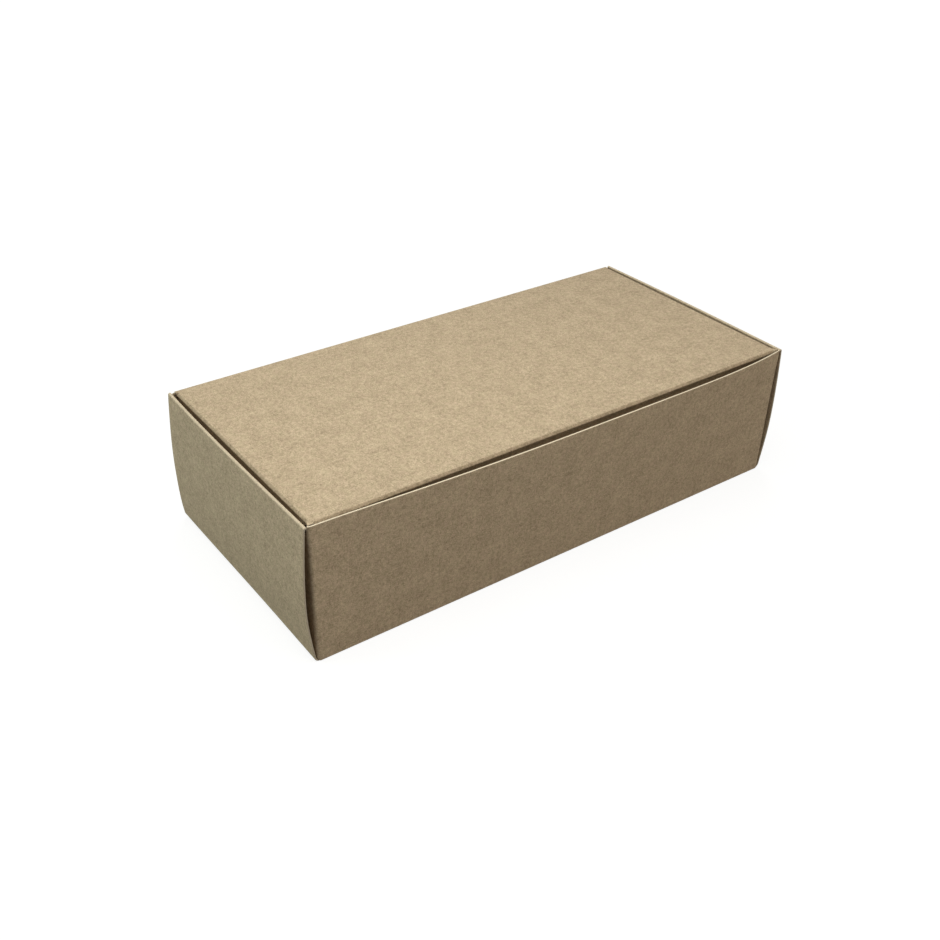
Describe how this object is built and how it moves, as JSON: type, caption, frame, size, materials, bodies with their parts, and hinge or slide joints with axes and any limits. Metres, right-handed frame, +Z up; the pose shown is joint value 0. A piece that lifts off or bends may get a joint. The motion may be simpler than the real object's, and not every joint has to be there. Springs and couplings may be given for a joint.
{
  "type": "folding candy box",
  "caption": "Folding candy box of plain kraft paperboard with rolled double ends, corner flaps, and a hinged lid that closes with a tuck flap and dust flaps.",
  "frame": {"origin": "on the table, under the middle of the box with its bowed front", "axes": "+X from the left end to the right end, +Y from the front to the hinged back, +Z up"},
  "size_m": [0.183, 0.0885, 0.0462],
  "materials": {
    "kraft_board": "plain unbleached kraft paperboard, matt, with fine fibres",
    "pressed_crease": "kraft paperboard pressed and softened along a crease, matt"
  },
  "bodies": {
    "tray": {"base_panel": "kraft_board", "front_wall": "kraft_board", "back_wall": "kraft_board", "left_end_wall": "kraft_board", "left_end_ridge": "kraft_board", "left_end_liner": "kraft_board", "right_end_wall": "kraft_board", "right_end_ridge": "kraft_board", "right_end_liner": "kraft_board", "front_left_corner_flap": "kraft_board", "front_right_corner_flap": "kraft_board", "back_left_corner_flap": "kraft_board", "back_right_corner_flap": "kraft_board", "lid_hinge_crease": "pressed_crease"},
    "lid": {"lid_panel": "kraft_board", "tuck_crease": "pressed_crease", "left_dust_crease": "pressed_crease", "right_dust_crease": "pressed_crease"},
    "tuck_flap": {"tuck_flap": "kraft_board"},
    "left_dust_flap": {"left_dust_flap": "kraft_board"},
    "right_dust_flap": {"right_dust_flap": "kraft_board"}
  },
  "joints": [
    {"name": "lid_hinge", "type": "hinge", "parent": "tray", "child": "lid", "pos_m": [0, 0.04379, 0.04574], "axis": [-1, 0, 0], "range_deg": [0, 175]},
    {"name": "tuck_fold", "type": "hinge", "parent": "lid", "child": "tuck_flap", "pos_m": [0, -0.03993, 0.04574], "axis": [1, 0, 0], "range_deg": [0, 78]},
    {"name": "left_dust_fold", "type": "hinge", "parent": "lid", "child": "left_dust_flap", "pos_m": [-0.08756, 0, 0.04574], "axis": [0, -1, 0], "range_deg": [0, 81]},
    {"name": "right_dust_fold", "type": "hinge", "parent": "lid", "child": "right_dust_flap", "pos_m": [0.08756, 0, 0.04574], "axis": [0, 1, 0], "range_deg": [0, 81]}
  ]
}
